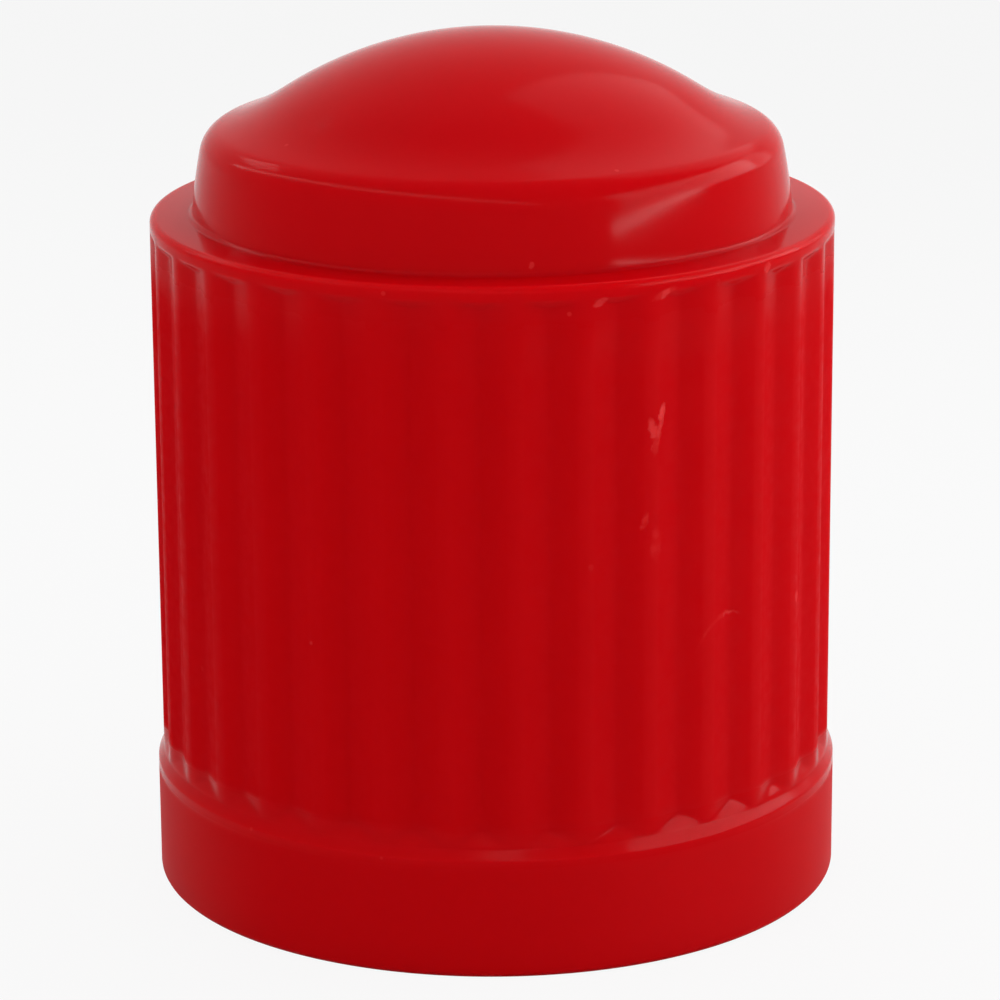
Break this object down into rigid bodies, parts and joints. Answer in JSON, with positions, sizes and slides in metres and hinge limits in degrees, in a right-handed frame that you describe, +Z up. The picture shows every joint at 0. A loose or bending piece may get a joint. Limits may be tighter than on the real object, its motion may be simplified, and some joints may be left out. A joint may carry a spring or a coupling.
{
  "type": "tyre valve cap",
  "caption": "Plastic screw-on dust cap for a tyre valve, with a domed end, a tapered neck, a ribbed grip and a plain collar round its threaded mouth.",
  "frame": {"origin": "centre of the mouth's rim, in the plane that the cap stands on", "axes": "+Z up the cap's axis, from the open mouth to the domed end; a rib's crest lies on each of +X, -X, +Y and -Y"},
  "size_m": [0.0098, 0.0098, 0.0122],
  "materials": {
    "red_plastic": "satin"
  },
  "bodies": {
    "root": {"valve_cap": "red_plastic"}
  },
  "joints": []
}
